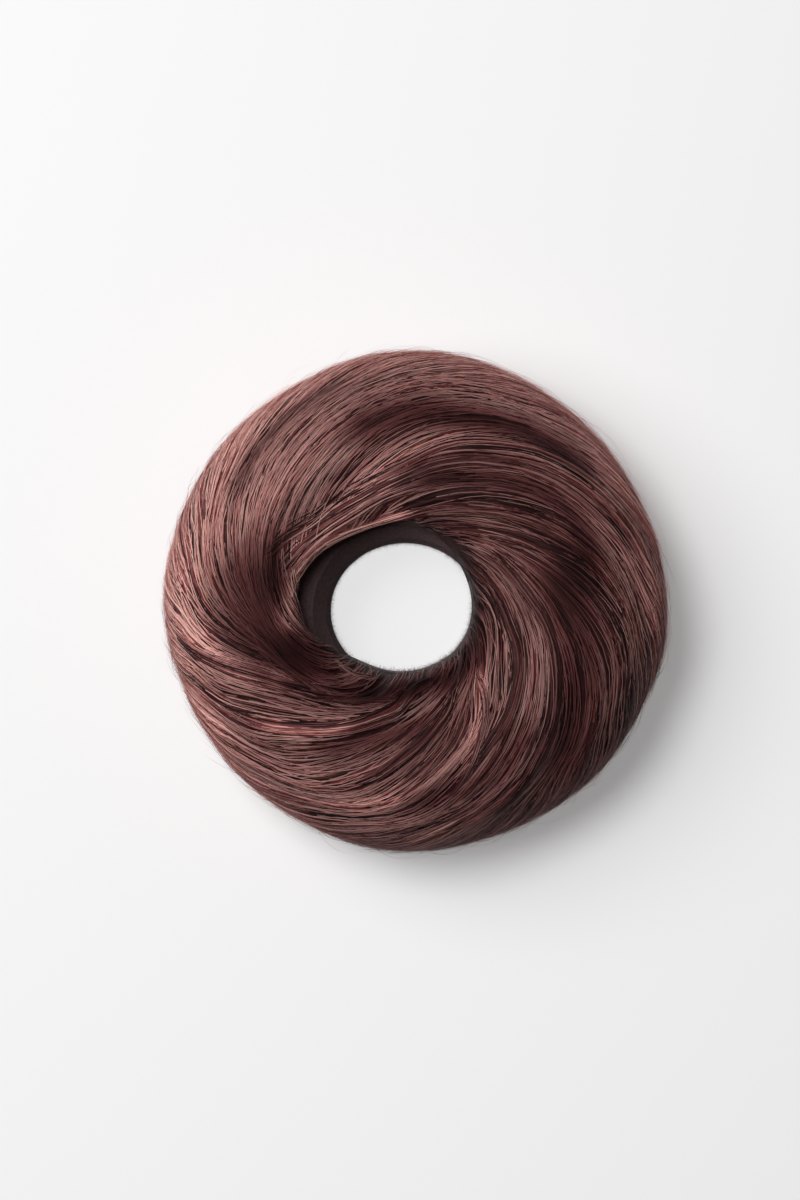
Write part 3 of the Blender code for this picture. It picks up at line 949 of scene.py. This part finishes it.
def deep_hair():
    """The same dyed hair, deep under the strands, where little light comes: painted nearly black-brown, darker
    than the strands above, as painted shade, with a soft grain of 1.1 mm, as wide as ten hairs side by side."""
    material, tree = new_material("deep_hair")
    place = add(tree, "ShaderNodeTexCoord")
    noise = add(
        tree,
        "ShaderNodeTexNoise",
        {"Vector": place.outputs["Object"]},
        {"Scale": 1 / DEEP_GRAIN, "Detail": 4.0},
    )
    shade = add(tree, "ShaderNodeValToRGB", {0: noise.outputs[0]})
    fill_ramp(shade.color_ramp, ((0.3, "#2c1b1c"), (0.7, "#42292a")))
    bump = add(tree, "ShaderNodeBump", {"Height": noise.outputs[0]}, {"Strength": 0.4, "Distance": DEEP_BUMP})
    surface = add(
        tree,
        "ShaderNodeBsdfPrincipled",
        {"Base Color": shade.outputs[0], "Normal": bump.outputs[0]},
        {"Roughness": 0.6, "IOR": 1.55},
    )
    add(tree, "ShaderNodeOutputMaterial", {"Surface": surface.outputs[0]})
    return material


def brushed_padding():
    """Brushed nylon padding, a dark grey-brown in deep shade: a soft matt surface with a grain of 0.7 mm, as
    wide as a tuft of its nap."""
    material, tree = new_material("brushed_nylon_padding")
    place = add(tree, "ShaderNodeTexCoord")
    noise = add(
        tree,
        "ShaderNodeTexNoise",
        {"Vector": place.outputs["Object"]},
        {"Scale": 1 / PADDING_GRAIN, "Detail": 5.0},
    )
    shade = add(tree, "ShaderNodeValToRGB", {0: noise.outputs[0]})
    fill_ramp(shade.color_ramp, ((0.3, "#5c4a4b"), (0.7, "#6a5657")))
    bump = add(
        tree,
        "ShaderNodeBump",
        {"Height": noise.outputs[0]},
        {"Strength": 0.5, "Distance": PADDING_BUMP},
    )
    surface = add(
        tree,
        "ShaderNodeBsdfPrincipled",
        {"Base Color": shade.outputs[0], "Normal": bump.outputs[0]},
        {"Roughness": 0.95, "Specular IOR Level": 0.1},
    )
    add(tree, "ShaderNodeOutputMaterial", {"Surface": surface.outputs[0]})
    return material


def white_table():
    """A matt white acrylic table top that glows as if lit from below, most of all under the hole, where the
    glow is painted light and its grey is made darker.
    """
    material, tree = new_material("matt_white_table")
    place = add(tree, "ShaderNodeTexCoord")
    centre = add(
        tree,
        "ShaderNodeVectorMath",
        {0: place.outputs["Object"]},
        {1: (HOLE_CENTRE[0], HOLE_CENTRE[1], 0)},
        operation="DISTANCE",
    )
    glow, grey = (
        add(
            tree,
            "ShaderNodeMapRange",
            {"Value": centre.outputs["Value"]},
            {"From Min": GLOW_RADIUS, "From Max": GLOW_EDGE, "To Min": inside, "To Max": outside},
            interpolation_type="SMOOTHSTEP",
        )
        for inside, outside in ((GLOW_INSIDE, GLOW_OUTSIDE), (GREY_INSIDE, GREY_OUTSIDE))
    )
    surface = add(
        tree,
        "ShaderNodeBsdfPrincipled",
        {"Base Color": grey.outputs[0], "Emission Strength": glow.outputs[0]},
        {"Roughness": 0.9, "Emission Color": WHITE},
    )
    add(tree, "ShaderNodeOutputMaterial", {"Surface": surface.outputs[0]})
    return material


def hair_bed():
    """The deep layer of hair under the strands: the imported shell, sunk a little."""
    mesh = HAIR.data.copy()
    mesh.name = "hair_bed"
    places = np.array([v.co for v in mesh.vertices])
    normals = np.array([v.normal for v in mesh.vertices])
    from_hole = np.hypot(places[:, 0] - HOLE_CENTRE[0], places[:, 1] - HOLE_CENTRE[1]) / HOLE_HALF_WIDTH
    places -= normals * (BED_DEPTH * soft_step(from_hole, *BED_SINKS))[:, None]
    places[:, 2] = np.maximum(places[:, 2], FLOOR_CLEARANCE)
    mesh.vertices.foreach_set("co", places.astype(np.float32).ravel())
    mesh.update()
    piece = new_object("hair_bed", mesh)
    mesh.materials.clear()
    mesh.materials.append(deep_hair())
    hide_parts("hair_ring")
    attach(piece, "root")


def padded_core():
    """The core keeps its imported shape, and gets the padding's finish."""
    CORE.data.materials.clear()
    CORE.data.materials.append(brushed_padding())


def padding_nap(count):
    """The padding's short nap, which makes the edge of the hole soft. Each hair of it is a thin bent strip
    that stands on the wall of the hole."""
    walls = [faces_of(node) for node in (CORE, HAIR)]
    clocks = rng.uniform(0, ROUND, count)
    heights = rng.uniform(*NAP_HEIGHTS, count) * CORE_HIGH.z
    corners = []
    for clock, height in zip(clocks, heights):
        x, y = heading(clock)
        centre = Vector((HOLE_CENTRE[0], HOLE_CENTRE[1], height))
        hits = [wall.ray_cast(centre, Vector((x, y, 0))) for wall in walls]
        place = min((hit for hit in hits if hit[0]), key=lambda hit: hit[3])[0]
        inward = -Vector((x, y, 0)) + Vector(rng.normal(0, NAP_LEAN, 3))
        across = inward.cross(Vector((0, 0, 1))).normalized() * NAP_WIDTH / 2
        length = rng.uniform(*NAP_LENGTHS) * NAP_LENGTH
        root = place - inward * NAP_ROOT
        bend = Vector(rng.normal(0, NAP_BEND, 3)) * length
        middle = place + inward * length / 2
        tip = place + inward * length + bend
        across_middle = across * NAP_MIDDLE_WIDTH
        corners += [root - across, root + across, middle + across_middle, middle - across_middle, tip]
    strip = ((0, 1, 2, 3), (3, 2, 4))
    firsts = range(0, count * NAP_CORNERS, NAP_CORNERS)
    faces = [[first + corner for corner in face] for first in firsts for face in strip]
    mesh = bpy.data.meshes.new("padding_nap")
    mesh.from_pydata(corners, [], faces)
    piece = new_object("padding_nap", mesh)
    mesh.materials.append(CORE.data.materials[0])
    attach(piece, "root")


def dress_ring():
    """Lays the hair in layers, from the bed and the core outward."""
    hair_bed()
    padded_core()
    padding_nap(NAP_COUNT)
    hair = dyed_hair_painted_light()
    layers = (
        ("inner_hair", INNER_HAIR),
        ("crown_hair_1", CROWN_HAIR),
        ("crown_hair_2", CROWN_HAIR),
        ("crown_hair_3", CROWN_HAIR),
        ("side_hair", SIDE_HAIR),
    )
    for name, kind in layers:
        strand_piece(name, [clumps_on_flow(**kind)], hair)
    strand_piece("top_locks", [lock_on_top(*row[1:]) for row in LOCKS], hair)
    strand_piece("hole_winding", [hole_winding(WINDING_COUNT, WINDING_STEPS)], hair)
    strand_piece("loose_strands", [loose_strands()], hair, proud=LOOSE_PAINTED_LIGHT)
    strand_piece("flyaways", [flyaways(FUZZ_COUNT, FUZZ_STEPS)], hair, proud=FUZZ_PAINTED_LIGHT)


def set_camera():
    data = bpy.data.cameras.new("camera")
    data.sensor_width = SENSOR
    data.lens = SENSOR * (CAMERA_HEIGHT - TUBE_MIDDLE_Z) / FRAME_LENGTH
    data.clip_start = NEAR
    data.clip_end = FAR
    camera = new_object("camera", data)
    camera.location = (CAMERA_X, CAMERA_Y, CAMERA_HEIGHT)
    bpy.context.scene.camera = camera


def studio_light(name, clock, elevation, size, power):
    """A round soft light at a clock angle and an elevation above the table, turned to the ring."""
    x, y = heading(clock)
    level, up = math.cos(math.radians(elevation)), math.sin(math.radians(elevation))
    place = Vector((x * level, y * level, up)) * LIGHT_DISTANCE
    data = bpy.data.lights.new(name, "AREA")
    data.shape = "DISK"
    data.size = size
    data.energy = power
    light = new_object(name, data)
    light.location = place
    light.rotation_mode = "QUATERNION"
    light.rotation_quaternion = (-place).to_track_quat("-Z", "Y")


def set_stage():
    """A pale table, and soft light from the upper left."""
    mesh = bpy.data.meshes.new("floor")
    corners = [(x * FLOOR_HALF, y * FLOOR_HALF, 0) for x, y in ((-1, -1), (1, -1), (1, 1), (-1, 1))]
    mesh.from_pydata(corners, [], [(0, 1, 2, 3)])
    mesh.materials.append(white_table())
    floor = new_object("floor", mesh)
    for row in LIGHTS:
        studio_light(*row)
    world = bpy.data.worlds.new("studio")
    world.use_nodes = True
    background = world.node_tree.nodes["Background"]
    background.inputs["Color"].default_value = WHITE
    background.inputs["Strength"].default_value = ROOM_LIGHT
    bpy.context.scene.world = world
    bpy.context.scene.view_settings.view_transform = "Standard"


SKIN, OUTWARD, LIPS = read_skin()
FLOW = flow_lines()
LIGHT = light_over_hair()
dress_ring()
set_camera()
set_stage()
